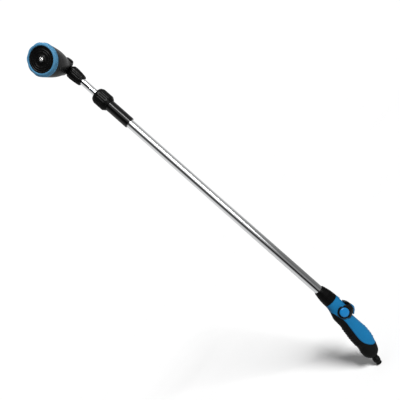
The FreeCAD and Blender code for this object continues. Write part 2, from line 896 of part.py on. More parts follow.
def make_centre_screw():
    low = "face_front + running_gap"
    seat = f"{low} + washer_thick"
    keep("screw_washer", washer(HEAD, "screw_washer", "screw_radius", "washer_radius", low, seat))
    screw = turned(
        "screw_blank",
        HEAD,
        [
            ("0", "bearing_front - 12"),
            ("screw_radius", "bearing_front - 11"),
            ("screw_radius", seat),
            ("screw_head_radius", seat),
            ("screw_head_radius", f"{seat} + 0.8"),
            ("screw_head_radius - 1.4", f"{seat} + screw_head"),
            ("0", f"{seat} + screw_head"),
        ],
    )
    recess = tube_along(HEAD, "screw_socket", "screw_recess", f"{seat} + 0.6", f"{seat} + screw_head + 1")
    keep("centre_screw", cut("centre_screw", screw, recess))


# ---------------------------------------------------------------- thumb valve


def make_valve():
    bore = "spool_radius + running_gap"
    liner = turned(
        "liner_blank",
        f"{VALVE} * placement(vector(0; 0; 0 - liner_half); rotation(0; 0; 0))",
        [
            (bore, "0"),
            ("liner_radius", "0"),
            ("liner_radius", "2 * liner_half"),
            (bore, "2 * liner_half"),
        ],
    )
    inlet = tube_along(HANDLE, "liner_inlet", "pipe_radius", "100", "valve_height")
    outlet_frame = f"{TUBE} * placement(vector(outlet_shift; 0; 0); rotation(0; 0; 0))"
    outlet = tube_along(outlet_frame, "liner_outlet", "water_bore - 1", "valve_height", "valve_height + 14")
    grooves = []
    for index, side in enumerate(("spool_seal_offset", "0 - spool_seal_offset")):
        grooves.append(
            tube_along(
                VALVE,
                f"liner_groove_{index}",
                "spool_radius + running_gap + 2 * spool_seal_thick + groove_ease",
                f"{side} - spool_seal_thick - groove_ease",
                f"{side} + spool_seal_thick + groove_ease",
            )
        )
    keep("valve_liner", cut("valve_liner", liner, inlet, outlet, *grooves))
    core = tube_along(VALVE, "spool_core", "spool_radius", "0 - spool_half", "spool_half")
    way_frame = "placement(vector(axis_offset; 0; valve_height); rotation(vector(0; 1; 0); 45))"
    way = tube_along(way_frame, "spool_cross_way", "spool_way", "0 - 12", "12")
    keep("valve_spool", cut("valve_spool", core, way, *screw_holes("spool", "lever_screw_depth + 1")))
    rings = []
    for index, side in enumerate(("spool_seal_offset", "0 - spool_seal_offset")):
        centre = "spool_radius + running_gap + spool_seal_thick"
        rings.append(ring(VALVE, f"spool_ring_{index}", centre, "spool_seal_thick", side))
    keep("spool_seals", fuse("spool_seals", *rings))


def traced(word):
    """The corners of an outline, as names on the sheet."""
    count = len(OUTLINES[word])
    return [(f"{word}_offset_{index}", f"{word}_height_{index}") for index in range(count)]


def screw_holes(name, depth):
    """Bores for the two lever screws, one in from each side of the valve."""
    left = tube_along(VALVE, name + "_hole_left", "lever_screw_radius", f"spool_half - ({depth})", "30")
    right = tube_along(VALVE, name + "_hole_right", "lever_screw_radius", "0 - 30", f"{depth} - spool_half")
    return [left, right]


def make_lever():
    bridge = plate("lever_bridge", VALVE_PLANE, traced("bridge"), "lever_half")
    ramp = plate("lever_ramp", VALVE_PLANE, traced("ramp"), "ramp_half")
    discs = tube_along(VALVE, "side_discs", "side_disc_radius", "0 - side_disc_outer", "side_disc_outer")
    arms = plate("lever_arms", VALVE_PLANE, traced("arms"), "lever_half")
    blank = fuse("lever_blank", bridge, ramp, discs, arms)
    gap_half = "side_disc_inner"
    body_room = tube_along(VALVE, "lever_bore", "lever_well + part_gap", f"0 - {gap_half}", gap_half)
    keep("thumb_lever", cut("thumb_lever", blank, body_room, *screw_holes("lever", "lever_screw_depth + 1")))
    pad = plate("pad_blank", VALVE_PLANE, traced("pad"), "pad_half")
    pad_room = tube_along(VALVE, "pad_bore", "lever_well + part_gap", f"0 - {gap_half}", gap_half)
    keep("thumb_pad", cut("thumb_pad", cut("pad_shaped", pad, pad_room), blank))
    caps = []
    for index, flip in enumerate(("0", "180")):
        frame = f"{VALVE} * placement(vector(0; 0; 0); rotation(vector(1; 0; 0); {flip}))"
        caps.append(
            turned(
                f"lever_cap_{index}",
                frame,
                [
                    ("0", "side_disc_outer + 1.2"),
                    ("cap_radius - 2", "side_disc_outer + 1.2"),
                    ("cap_radius - 2", "side_disc_outer"),
                    ("cap_radius", "side_disc_outer"),
                    ("cap_radius", "side_disc_outer + 0.8"),
                    ("cap_radius - 2.6", "cap_crown - 0.5"),
                    ("cap_radius - 6", "cap_crown"),
                    ("0", "cap_crown"),
                ],
            )
        )
    keep("lever_caps", fuse("lever_caps", *caps))
    screws = []
    for index, flip in enumerate(("0", "180")):
        frame = f"{VALVE} * placement(vector(0; 0; 0); rotation(vector(1; 0; 0); {flip}))"
        screws.append(
            turned(
                f"lever_screw_{index}",
                frame,
                [
                    ("0", "spool_half - lever_screw_depth"),
                    ("lever_screw_radius", "spool_half - lever_screw_depth"),
                    ("lever_screw_radius", "side_disc_outer"),
                    ("lever_screw_head", "side_disc_outer"),
                    ("lever_screw_head", "side_disc_outer + 1"),
                    ("0", "side_disc_outer + 1"),
                ],
            )
        )
    keep("lever_screws", fuse("lever_screws", *screws))


# ---------------------------------------------------------------- hose end


def make_hose_end():
    plug = turned(
        "plug_blank",
        HANDLE,
        [
            ("plug_bore", "0"),
            ("plug_nose_radius", "0"),
            ("plug_nose_radius", "plug_nose"),
            ("plug_radius", "plug_nose + 1.6"),
            ("plug_radius", "plug_band - 2"),
            ("plug_radius - 1.2", "plug_band"),
            ("plug_radius - 0.6", "plug_band + 0.4"),
            ("plug_radius - 0.6", "plug_band + 2.6"),
            ("plug_neck_radius", "plug_band + 3.6"),
            ("plug_neck_radius", "plug_root"),
            ("plug_bore", "plug_root"),
        ],
    )
    flutes = []
    for index in range(16):
        place = (
            f"{HANDLE} * placement(vector(0; 0; 0); rotation(vector(0; 0; 1); {index * 22.5}))"
            " * placement(vector(plug_radius + 0.4; 0; plug_nose + 1.6); rotation(0; 0; 0))"
        )
        flutes.append(
            primitive(
                "Cylinder",
                f"plug_flute_{index}",
                frame=place,
                Radius="plug_flute",
                Height="plug_band - plug_nose - 3.6",
            )
        )
    keep("hose_plug", cut("hose_plug", plug, *flutes))
    insert = turned(
        "inlet_insert",
        HANDLE,
        [
            ("plug_neck_radius", "insert_bottom"),
            ("insert_radius", "insert_bottom"),
            ("insert_radius", "insert_top"),
            ("pipe_radius", "insert_top"),
            ("pipe_radius", "insert_top - 6"),
            ("pipe_radius - pipe_wall", "insert_top - 6"),
            ("pipe_radius - pipe_wall", "insert_top - 10"),
            ("plug_neck_radius", "insert_top - 10"),
        ],
    )
    keep("inlet_insert", insert)
    low = "plug_root"
    keep("inlet_washer", washer(HANDLE, "inlet_washer", "plug_bore", "plug_neck_radius", low, f"{low} + 2"))
    screen_low = f"{low} + 2"
    screen = tube_along(HANDLE, "filter_disc", "plug_neck_radius", screen_low, f"{screen_low} + 0.8")
    mesh_holes = []
    for column in range(-2, 3):
        for row in range(-2, 3):
            spot = f"vector({column} * filter_pitch; {row} * filter_pitch; 0)"
            frame = f"{HANDLE} * placement({spot}; rotation(0; 0; 0))"
            name = f"filter_hole_{column + 2}_{row + 2}"
            mesh_holes.append(tube_along(frame, name, "filter_hole", f"{low} + 1", f"{low} + 4"))
    keep("filter_screen", cut("filter_screen", screen, *mesh_holes))
    pipe = washer(
        HANDLE,
        "pipe_blank",
        "pipe_radius - pipe_wall",
        "pipe_radius",
        "insert_top - 6",
        "valve_height",
    )
    room = tube_along(VALVE, "pipe_end_room", "liner_radius", "0 - 20", "20")
    keep("flow_pipe", cut("flow_pipe", pipe, room))


def check_and_export():
    """Stop on any failed object, then write each piece to its own file."""
    doc.recompute()
    for item in doc.Objects:
        if "Invalid" in item.State or "Error" in item.State:
            raise SystemExit(f"failed object: {item.Name} {item.State}")
    for piece in subparts:
        if piece.Shape.isNull() or not piece.Shape.isValid():
            raise SystemExit(f"bad shape: {piece.Label}")
    os.makedirs("parts", exist_ok=True)
    for piece in subparts:
        piece.Shape.exportStep(f"parts/{piece.Label}.step")
        print(f"{piece.Label:16s} solids {len(piece.Shape.Solids)} volume {piece.Shape.Volume:10.1f}")


make_handle()
make_nose()
make_outer_tube()
make_lock()
make_inner_tube()
make_neck()
make_knuckle()
make_housing()
make_dial()
make_centre_screw()
make_valve()
make_lever()
make_hose_end()
check_and_export()
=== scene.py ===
"""Looks of the telescopic watering wand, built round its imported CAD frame.

Outlines are in millimetres and pieces are placed through four frames taken from the joints: the tube,
the handle (hose plug to valve), the valve and the head (knuckle to spray face).
"""

import json
import math

import bmesh
import bpy
from mathutils import Matrix, Vector


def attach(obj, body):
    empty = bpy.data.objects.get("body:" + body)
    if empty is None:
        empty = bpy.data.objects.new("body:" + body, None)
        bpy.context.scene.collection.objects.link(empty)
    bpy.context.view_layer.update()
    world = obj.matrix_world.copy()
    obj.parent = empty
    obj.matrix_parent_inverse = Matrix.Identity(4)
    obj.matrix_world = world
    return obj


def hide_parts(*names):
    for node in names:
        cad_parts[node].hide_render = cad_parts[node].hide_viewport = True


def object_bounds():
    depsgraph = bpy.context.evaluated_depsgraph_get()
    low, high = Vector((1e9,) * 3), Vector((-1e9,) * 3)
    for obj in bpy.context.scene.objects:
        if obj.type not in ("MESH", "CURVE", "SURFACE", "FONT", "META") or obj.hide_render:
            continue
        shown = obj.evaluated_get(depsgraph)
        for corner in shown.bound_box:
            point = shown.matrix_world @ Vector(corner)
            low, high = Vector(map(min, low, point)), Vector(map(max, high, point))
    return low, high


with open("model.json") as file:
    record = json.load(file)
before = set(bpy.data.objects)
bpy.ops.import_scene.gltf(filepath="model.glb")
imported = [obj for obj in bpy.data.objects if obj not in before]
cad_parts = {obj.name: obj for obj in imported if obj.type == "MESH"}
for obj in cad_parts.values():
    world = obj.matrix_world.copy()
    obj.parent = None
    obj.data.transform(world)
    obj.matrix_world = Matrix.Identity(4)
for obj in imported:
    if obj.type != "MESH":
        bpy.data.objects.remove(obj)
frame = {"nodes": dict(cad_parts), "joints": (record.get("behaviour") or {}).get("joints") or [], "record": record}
cad_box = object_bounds()

MM = 0.001
TAU = 2 * math.pi

JOINTS = {joint["name"]: joint for joint in frame["joints"]}
VALVE_CENTRE = Vector(JOINTS["thumb_valve"]["pos_m"])
KNUCKLE_CENTRE = Vector(JOINTS["head_tilt"]["pos_m"])
PIN_AXIS = Vector(JOINTS["head_tilt"]["axis"]).normalized()
SPRAY_AXIS = Vector(JOINTS["pattern_dial"]["axis"]).normalized()
TUBE_X = VALVE_CENTRE.x


def frame_from(origin, x_axis, z_axis):
    """A placement in metres whose local units are millimetres."""
    y_axis = z_axis.cross(x_axis).normalized()
    turn = Matrix((x_axis, y_axis, z_axis)).transposed().to_4x4()
    return Matrix.Translation(origin) @ turn @ Matrix.Scale(MM, 4)


UP = Vector((0, 0, 1))
ACROSS = Vector((0, 1, 0))
HANDLE_AXIS = VALVE_CENTRE.normalized()
TUBE = frame_from(Vector((TUBE_X, 0, 0)), Vector((1, 0, 0)), UP)
HANDLE = frame_from(Vector((0, 0, 0)), ACROSS.cross(HANDLE_AXIS), HANDLE_AXIS)
HEAD = frame_from(KNUCKLE_CENTRE, PIN_AXIS, SPRAY_AXIS)
KNUCKLE = frame_from(KNUCKLE_CENTRE, SPRAY_AXIS, PIN_AXIS)
NECK = frame_from(KNUCKLE_CENTRE, PIN_AXIS, UP)
VALVE_LEFT = frame_from(VALVE_CENTRE, Vector((1, 0, 0)), -ACROSS)
VALVE_RIGHT = frame_from(VALVE_CENTRE, Vector((1, 0, 0)), ACROSS)


# ---------------------------------------------------------------- shaping tools


def filleted(corners, steps=5):
    """Points of an outline whose corners (x, y, radius) are rounded with arcs."""
    points = []
    count = len(corners)
    for index, corner in enumerate(corners):
        here = Vector(corner[:2])
        radius = corner[2] if len(corner) > 2 else 0
        if radius <= 0:
            points.append((here.x, here.y))
            continue
        before = (Vector(corners[index - 1][:2]) - here).normalized()
        after = (Vector(corners[(index + 1) % count][:2]) - here).normalized()
        half = before.angle(after) / 2
        reach = radius / math.tan(half)
        centre = here + (before + after).normalized() * (radius / math.sin(half))
        first = here + before * reach - centre
        sweep = first.angle_signed(here + after * reach - centre)
        for step in range(steps + 1):
            turn = -sweep * step / steps
            spoke = Matrix.Rotation(turn, 2) @ first
            points.append((centre.x + spoke.x, centre.y + spoke.y))
    return points


def smooth_curve(samples, x):
    """The value at x of a smooth curve through (x, value) samples in rising order."""
    if x <= samples[0][0]:
        return samples[0][1]
    if x >= samples[-1][0]:
        return samples[-1][1]
    index = next(i for i in range(len(samples) - 1) if x <= samples[i + 1][0])
    (x0, y0), (x1, y1) = samples[index], samples[index + 1]
    before = samples[max(index - 1, 0)]
    after = samples[min(index + 2, len(samples) - 1)]
    slope0 = (y1 - before[1]) / (x1 - before[0])
    slope1 = (after[1] - y0) / (after[0] - x0)
    gap = x1 - x0
    t = (x - x0) / gap
    return (
        y0 * (1 + 2 * t) * (1 - t) ** 2
        + gap * slope0 * t * (1 - t) ** 2
        + y1 * t * t * (3 - 2 * t)
        - gap * slope1 * t * t * (1 - t)
    )


def step_up(low, high, x):
    """0 below low, 1 above high and a smooth ramp between."""
    t = min(max((x - low) / (high - low), 0), 1)
    return t * t * (3 - 2 * t)


def bump(centre, width, x):
    """A smooth hump of height 1 at centre that reaches 0 at half its width away."""
    return max(0, math.cos(min(abs(x - centre) / width, 0.5) * math.pi)) ** 2


def new_piece(name, mesh_maker, place, body, slot, *nodes, sharp=32):
    """Make an object from a bmesh, name its looks and its body, and hide the CAD nodes it stands for."""
    mesh = bpy.data.meshes.new(name)
    bmesh.ops.remove_doubles(mesh_maker, verts=mesh_maker.verts, dist=1e-5)
    bmesh.ops.recalc_face_normals(mesh_maker, faces=mesh_maker.faces)
    mesh_maker.transform(place)
    limit = math.radians(sharp)
    for edge in mesh_maker.edges:
        edge.smooth = not (edge.is_manifold and edge.calc_face_angle(0) > limit)
    for face in mesh_maker.faces:
        face.smooth = True
    mesh_maker.to_mesh(mesh)
    mesh_maker.free()
    piece = bpy.data.objects.new(name, mesh)
    bpy.context.scene.collection.objects.link(piece)
    piece.data.materials.append(LOOKS[slot])
    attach(piece, body)
    if nodes:
        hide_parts(*nodes)
    return piece


def lathe(outline, segments=96, shape=None, ring_shaped=False):
    """A surface turned about Z from (radius, height) points, which shape(radius, height, angle) moves."""
    maker = bmesh.new()
    rings = []
    for radius, height in outline:
        if radius < 1e-4:
            rings.append([maker.verts.new((0, 0, height))])
            continue
        ring = []
        for index in range(segments):
            angle = TAU * index / segments
            far, high = shape(radius, height, angle) if shape else (radius, height)
            ring.append(maker.verts.new((far * math.cos(angle), far * math.sin(angle), high)))
        rings.append(ring)
    pairs = list(zip(rings, rings[1:] + rings[:1])) if ring_shaped else list(zip(rings, rings[1:]))
    for low, high in pairs:
        for index in range(segments):
            after = (index + 1) % segments
            corners = [low[index % len(low)], low[after % len(low)]]
            corners += [high[after % len(high)], high[index % len(high)]]
            unique = list(dict.fromkeys(corners))
            if len(unique) > 2:
                maker.faces.new(unique)
    return maker


def circle_of(maker, radius, height, segments):
    """A ring of new points about Z."""
    turns = [TAU * index / segments for index in range(segments)]
    return [maker.verts.new((radius * math.cos(turn), radius * math.sin(turn), height)) for turn in turns]


def bridged(maker, rings):
    """Faces between rings with the same number of points."""
    for low, high in zip(rings, rings[1:]):
        for index in range(len(low)):
            after = (index + 1) % len(low)
            maker.faces.new((low[index], low[after], high[after], high[index]))


def grid(rows):
    """A surface through rows of points, all rows with the same count."""
    maker = bmesh.new()
    lines = [[maker.verts.new(point) for point in row] for row in rows]
    for low, high in zip(lines, lines[1:]):
        for index in range(len(low) - 1):
            maker.faces.new((low[index], low[index + 1], high[index + 1], high[index]))
    return maker


def slab(outline, low, high, edge=0.8):
    """A flat piece with an outline in XY, from low to high in Z, its rims rounded."""
    maker = bmesh.new()
    steps = 4
    centre = Vector((sum(p[0] for p in outline), sum(p[1] for p in outline))) / len(outline)
    layers = []
    for side, level in ((-1, low), (1, high)):
        turns = range(steps + 1) if side < 0 else range(steps, -1, -1)
        for step in turns:
            angle = math.pi / 2 * step / steps
            inset = edge * (1 - math.sin(angle))
            height = level - side * edge * (1 - math.cos(angle))
            layers.append((inset, height))
    loops = []
    for inset, height in layers:
        loop = []
        for x, y in outline:
            spoke = Vector((x, y)) - centre
            shorter = spoke * (1 - inset / max(spoke.length, 1e-6))
            loop.append(maker.verts.new((centre.x + shorter.x, centre.y + shorter.y, height)))
        loops.append(loop)
    bridged(maker, loops)
    maker.faces.new(loops[0])
    maker.faces.new(loops[-1])
    return maker


def merged(*makers):
    """Several bmeshes as one."""
    whole = makers[0]
    for other in makers[1:]:
        mesh = bpy.data.meshes.new("joined")
        other.to_mesh(mesh)
        other.free()
        whole.from_mesh(mesh)
        bpy.data.meshes.remove(mesh)
    return whole


def apply_modifiers(piece):
    """Replace a piece's mesh with what its modifiers make of it."""
    depsgraph = bpy.context.evaluated_depsgraph_get()
    done = bpy.data.meshes.new_from_object(piece.evaluated_get(depsgraph))
    piece.modifiers.clear()
    old = piece.data
    piece.data = done
    bpy.data.meshes.remove(old)


def thicken(piece, depth):
    """Give an open skin a real thickness, inwards, in millimetres."""
    modifier = piece.modifiers.new("thickness", "SOLIDIFY")
    modifier.thickness = depth * MM
    modifier.offset = -1
    modifier.use_even_offset = False
    apply_modifiers(piece)


# ---------------------------------------------------------------- materials


class Look:
    """A procedural material built up from a Principled shader."""

    def __init__(self, name, colour, roughness, metallic=0.0, specular=0.5):
        self.material = bpy.data.materials.new(name)
        self.material.use_nodes = True
        self.material.diffuse_color = (*colour, 1)
        self.tree = self.material.node_tree
        self.shader = self.tree.nodes["Principled BSDF"]
        self.shader.inputs["Base Color"].default_value = (*colour, 1)
        self.shader.inputs["Roughness"].default_value = roughness
        self.shader.inputs["Metallic"].default_value = metallic
        self.shader.inputs["Specular IOR Level"].default_value = specular
        self.place = self.tree.nodes.new("ShaderNodeTexCoord")
        self.height = None

    def noise(self, scale, detail=4, stretch=(1, 1, 1)):
        """Noise in object space; scale is in cycles per metre."""
        mapping = self.tree.nodes.new("ShaderNodeMapping")
        mapping.inputs["Scale"].default_value = stretch
        noise = self.tree.nodes.new("ShaderNodeTexNoise")
        noise.inputs["Scale"].default_value = scale
        noise.inputs["Detail"].default_value = detail
        self.tree.links.new(self.place.outputs["Object"], mapping.inputs["Vector"])
        self.tree.links.new(mapping.outputs["Vector"], noise.inputs["Vector"])
        return noise.outputs["Fac"]

    def ramp(self, factor, stops):
        """A colour ramp with (position, colour) stops."""
        node = self.tree.nodes.new("ShaderNodeValToRGB")
        elements = node.color_ramp.elements
        while len(elements) < len(stops):
            elements.new(0.5)
        for element, (position, colour) in zip(elements, stops):
            element.position = position
            element.color = (*colour, 1)
        self.tree.links.new(factor, node.inputs["Fac"])
        return node.outputs["Color"]

    def colour_from(self, factor, stops):
        self.tree.links.new(self.ramp(factor, stops), self.shader.inputs["Base Color"])
        return self

    def roughness_from(self, factor, low, high, start=0.3, end=0.7):
        node = self.tree.nodes.new("ShaderNodeMapRange")
        node.inputs["From Min"].default_value = start
        node.inputs["From Max"].default_value = end
        node.inputs["To Min"].default_value = low
        node.inputs["To Max"].default_value = high
        self.tree.links.new(factor, node.inputs["Value"])
        self.tree.links.new(node.outputs["Result"], self.shader.inputs["Roughness"])
        return self

    def bump_from(self, factor, distance, strength=0.5):
        """Surface relief of a given height in millimetres, added to any before it."""
        node = self.tree.nodes.new("ShaderNodeBump")
        node.inputs["Distance"].default_value = distance * MM
        node.inputs["Strength"].default_value = strength
        self.tree.links.new(factor, node.inputs["Height"])
        if self.height:
            self.tree.links.new(self.height, node.inputs["Normal"])
        self.height = node.outputs["Normal"]
        self.tree.links.new(self.height, self.shader.inputs["Normal"])
        return self


def shaded(colour, factor):
    return tuple(min(channel * factor, 1) for channel in colour)


def moulded_plastic(name, colour, roughness, grain=0.02, variation=0.12, specular=0.5):
    """Moulded plastic: slow colour drift, fine spark-eroded grain and uneven gloss."""
    look = Look(name, colour, roughness, specular=specular)
    drift = look.noise(35, 3)
    stops = [(0.3, shaded(colour, 1 - variation)), (0.7, shaded(colour, 1 + variation))]
    look.colour_from(drift, stops)
    look.roughness_from(look.noise(90, 4), roughness * 0.85, roughness * 1.2)
    look.bump_from(look.noise(2600, 2), grain, 0.35)
    return look


def soft_rubber(name, colour):
    """Soft-touch overmoulding: matt, with a pebbled skin and a faint bloom."""
    look = Look(name, colour, 0.62, specular=0.07)
    look.colour_from(look.noise(60, 5), [(0.3, shaded(colour, 0.75)), (0.75, shaded(colour, 1.5))])
    look.roughness_from(look.noise(140, 4), 0.5, 0.72)
    look.bump_from(look.noise(1500, 3), 0.06, 0.5)
    return look


def bright_metal(name, colour, roughness, along=(1, 1, 0.02)):
    """Polished tube: fine drawn lines along its length and faint smears."""
    look = Look(name, colour, roughness, metallic=1.0)
    look.colour_from(look.noise(18, 3), [(0.3, shaded(colour, 0.94)), (0.7, colour)])
    look.roughness_from(look.noise(700, 3, along), roughness * 0.7, roughness * 1.5)
    look.bump_from(look.noise(1800, 2, along), 0.0012, 0.2)
    return look


def make_looks():
    looks = {
        "handle_blue": moulded_plastic("handle_blue", (0.005, 0.084, 0.19), 0.42, 0.012, 0.05, 0.05),
        "soft_black": soft_rubber("soft_black", (0.0016, 0.0016, 0.0015)),
        "black_plastic": moulded_plastic("black_plastic", (0.0018, 0.0018, 0.0018), 0.34, 0.014, 0.2, 0.06),
        "gloss_black": moulded_plastic("gloss_black", (0.0012, 0.0012, 0.0013), 0.12, 0.002, 0.15, 0.36),
        "bright_tube": bright_metal("bright_tube", (0.86, 0.87, 0.88), 0.1),
        "cap_blue": moulded_plastic("cap_blue", (0.002, 0.105, 0.27), 0.3, 0.003, 0.05, 0.25),
        "dial_blue": moulded_plastic("dial_blue", (0.042, 0.135, 0.23), 0.42, 0.01, 0.06, 0.08),
        "natural_nylon": moulded_plastic("natural_nylon", (0.72, 0.71, 0.66), 0.4, 0.01, 0.04),
        "seal_rubber": soft_rubber("seal_rubber", (0.014, 0.014, 0.014)),
        "bright_steel": bright_metal("bright_steel", (0.42, 0.42, 0.41), 0.36, (1, 1, 1)),
        "valve_brass": bright_metal("valve_brass", (0.72, 0.5, 0.22), 0.28, (1, 1, 1)),
    }
    return {slot: look.material for slot, look in looks.items()}


LOOKS = make_looks()


def dress_cad_nodes():
    """Give every carried-over CAD node the look of its material slot."""
    slots = {entry["node"]: entry["material_slot"] for entry in frame["record"]["subparts"]}
    for node, item in frame["nodes"].items():
        for index in range(max(len(item.material_slots), 1)):
            if index < len(item.material_slots):
                item.material_slots[index].material = LOOKS[slots[node]]


# ---------------------------------------------------------------- grip

# Height, back, front (both from the tube axis) and half width of the grip's sections.
SECTIONS = [
    (18.2, -20.4, -31.2, 5.4),
    (20, -15.4, -33.8, 8.8),
    (23, -10.6, -36.8, 11.8),
    (27, -7.2, -39.6, 13.6),
    (33, -4, -41.8, 15),
    (42, -0.2, -41.2, 15.9),
    (53, 3.9, -37.9, 16.2),
    (66, 6.8, -36.2, 16.3),
    (81, 8.3, -34.6, 16.2),
    (96, 8.2, -31.3, 15.9),
    (112, 8.4, -28, 15.9),
    (124, 9.6, -27, 16.1),
    (134, 12.6, -26.3, 16.3),
    (142, 15.4, -23.3, 16.4),
    (150, 17, -20, 16.5),
    (158, 17.2, -17.8, 16.5),
    (167.1, 16.6, -16.4, 16.4),
]

# Edge between the blue back and the soft front: height, offset from the tube axis.
EDGE = [
    (36, 0),
    (39.6, -5.4),
    (43.4, -10.6),
    (49.3, -15.6),
    (56.4, -19.6),
    (64.3, -21.8),
    (73.6, -21.8),
    (83, -20.3),
    (94.8, -18),
    (106.5, -15.7),
    (118.4, -13.6),
    (128, -13.8),
    (136.4, -15.2),
    (145, -16.8),
    (154, -18),
]

GRIP_FOOT, GRIP_HEAD = 18.2, 167.1
GRIP_TIP = 36.4       # where the blue leaf ends
GRIP_TOP = 153.0      # where the soft front ends
GROOVE_DEPTH = 0.9
GROOVE_WIDTH = 1.3
LIP_HEIGHT = 0.45     # raised lip along the blue leaf's edge
LIP_WIDTH = 3.2
SKIN = 2.2
GRIP_ROWS, GRIP_COLUMNS = 190, 80
SQUARENESS = 2.25     # 2 would make the sections elliptical


def section(height):
    backs = [(row[0], row[1]) for row in SECTIONS]
    fronts = [(row[0], row[2]) for row in SECTIONS]
    halves = [(row[0], row[3]) for row in SECTIONS]
    return (smooth_curve(backs, height), smooth_curve(fronts, height), smooth_curve(halves, height))


def edge_angle(height):
    """Angle from the back at which the soft front starts, at one height."""
    if height <= GRIP_TIP:
        return 0.0
    if height >= GRIP_TOP:
        return math.pi
    back, front, _ = section(height)
    centre, half = (back + front) / 2, (back - front) / 2
    offset = (smooth_curve(EDGE, height) - centre) / half
    angle = math.acos(min(max(offset, -1), 1))
    opening = step_up(GRIP_TIP - 0.4, GRIP_TIP + 7, height)
    closing = step_up(GRIP_TOP - 5, GRIP_TOP + 0.2, height)
    return angle * opening ** 0.45 + (math.pi - angle) * closing


def grip_relief(height, angle):
    """Finger ribs on the front and thumb ribs on the back, as a height over the plain grip."""
    relief = 0.0
    front = step_up(0.35, 0.75, -math.cos(angle))
    for index in range(8):
        relief += 1.2 * front * bump(64 + 6 * index, 5.2, height)
    back = step_up(0.55, 0.85, math.cos(angle))
    for index in range(5):
        relief += 0.8 * back * bump(51 + 6.4 * index, 4.6, height)
    return relief


def grip_point(height, angle, sink=0.0):
    back, front, half_width = section(height)
    centre, half_depth = (back + front) / 2, (back - front) / 2
    cosine, sine = math.cos(angle), math.sin(angle)
    reach = (abs(cosine) ** SQUARENESS + abs(sine) ** SQUARENESS) ** (-1 / SQUARENESS)
    growth = grip_relief(height, angle) - sink
    return (
        centre + (half_depth + growth) * reach * cosine,
        (half_width + growth) * reach * sine,
        height,
    )


def rolled_edge(distance, lip):
    """How far a skin sinks at a distance from its edge: a quarter round, then a raised lip."""
    if distance >= GROOVE_WIDTH:
        return -lip * bump(GROOVE_WIDTH + LIP_WIDTH * 0.35, LIP_WIDTH, distance)
    t = 1 - distance / GROOVE_WIDTH
    return GROOVE_DEPTH * (1 - math.sqrt(max(0, 1 - t * t)))


def spread(count, near_edges):
    """Positions from 0 to 1 that crowd towards both ends."""
    values = []
    for index in range(count + 1):
        t = index / count
        values.append(t - near_edges * math.sin(TAU * t) / TAU)
    return values


def grip_rows(low, high, count, start_angle, end_angle, columns, crowd=0.8, lip=0.0):
    """Rows of points over the part of the grip between two angles that vary with height."""
    rows = []
    for step in range(count + 1):
        height = low + (high - low) * step / count
        first, last = start_angle(height), end_angle(height)
        back, front, half_width = section(height)
        girth = ((back - front) / 2 + half_width) / 2
        row = []
        for part in spread(columns, crowd):
            angle = first + (last - first) * part
            gap = min(angle - first, last - angle) * girth
            closed = last - first > TAU - 1e-4
            sink = 0.0 if closed else rolled_edge(gap, lip)
            row.append(grip_point(height, angle, sink))
        rows.append(row)
    return rows


# Room for the lever's swing about the valve: radii, first and last angle, half width.
LEVER_ROOM = [(16.8, 27, -22, 80, 8.35), (17.1, 26, -64, 43.5, 20.35)]


def sector(inner, outer, first, last, half_width, steps=16):
    """A solid part of a ring about the valve axis."""
    turns = [math.radians(first + (last - first) * step / steps) for step in range(steps + 1)]
    outline = [(outer * math.cos(turn), outer * math.sin(turn)) for turn in turns]
    outline += [(inner * math.cos(turn), inner * math.sin(turn)) for turn in reversed(turns)]
    maker = bmesh.new()
    near, far = [[maker.verts.new((x, y, side)) for x, y in outline] for side in (-half_width, half_width)]
    for index in range(len(outline)):
        after = (index + 1) % len(outline)
        maker.faces.new((near[index], near[after], far[after], far[index]))
    maker.faces.new(near)
    maker.faces.new(far)
    return maker


def make_grip():
    blue = grid(
        grip_rows(GRIP_TIP + 0.3, GRIP_HEAD, GRIP_ROWS, lambda h: -edge_angle(h), edge_angle, GRIP_COLUMNS,
                  lip=LIP_HEIGHT)
    )
    shell = new_piece("handle_skin", blue, TUBE, "handle", "handle_blue", "handle_shell")
    thicken(shell, SKIN)
    for inner, outer, first, last, half_width in LEVER_ROOM:
        cut_away(shell, sector(inner, outer, first, last, half_width), VALVE_LEFT)
    resharpen(shell, 40)
    black = grid(
        grip_rows(GRIP_FOOT, GRIP_TOP - 0.2, GRIP_ROWS, edge_angle, lambda h: TAU - edge_angle(h),
                  GRIP_COLUMNS)
    )
    front = new_piece("grip_skin", black, TUBE, "handle", "soft_black", "soft_grip")
    thicken(front, SKIN)


def closing_ring(height, reach, centre, radius, depth, segments=96):
    """A flat ring with a thickness, from the grip's outline to a round hole, that closes one end."""
    rows = []
    for level in (height, height + depth):
        outer, inner = [], []
        for index in range(segments + 1):
            angle = TAU * index / segments
            x, y, _ = grip_point(height, angle, reach)
            outer.append((x, y, level))
            inner.append((centre + radius * math.cos(angle), radius * math.sin(angle), level))
        rows += [inner, outer] if level == height else [outer, inner]
    return grid(rows + rows[:1])


def make_grip_ends():
    foot = closing_ring(GRIP_FOOT, 0.3, -25.8, 5.4, 1.5)
    new_piece("grip_foot", foot, TUBE, "handle", "soft_black", "soft_grip")
    head = closing_ring(GRIP_HEAD, 0.3, 0, 12.5, -1.5)
    new_piece("grip_head", head, TUBE, "handle", "handle_blue", "handle_shell")


def make_valve_boss():
    """Raised round seat of the valve on each side of the grip."""
    for side, place in (("left", VALVE_LEFT), ("right", VALVE_RIGHT)):
        outline = filleted(
            [(15.2, 10, 0), (15.2, 15.2, 1.2), (13.6, 16.6, 0.8), (8, 16.6, 0), (8, 10, 0)]
        )
        boss = lathe(outline, 96, ring_shaped=True)
        new_piece("valve_boss_" + side, boss, place, "handle", "handle_blue", "handle_shell")


# ---------------------------------------------------------------- thumb lever


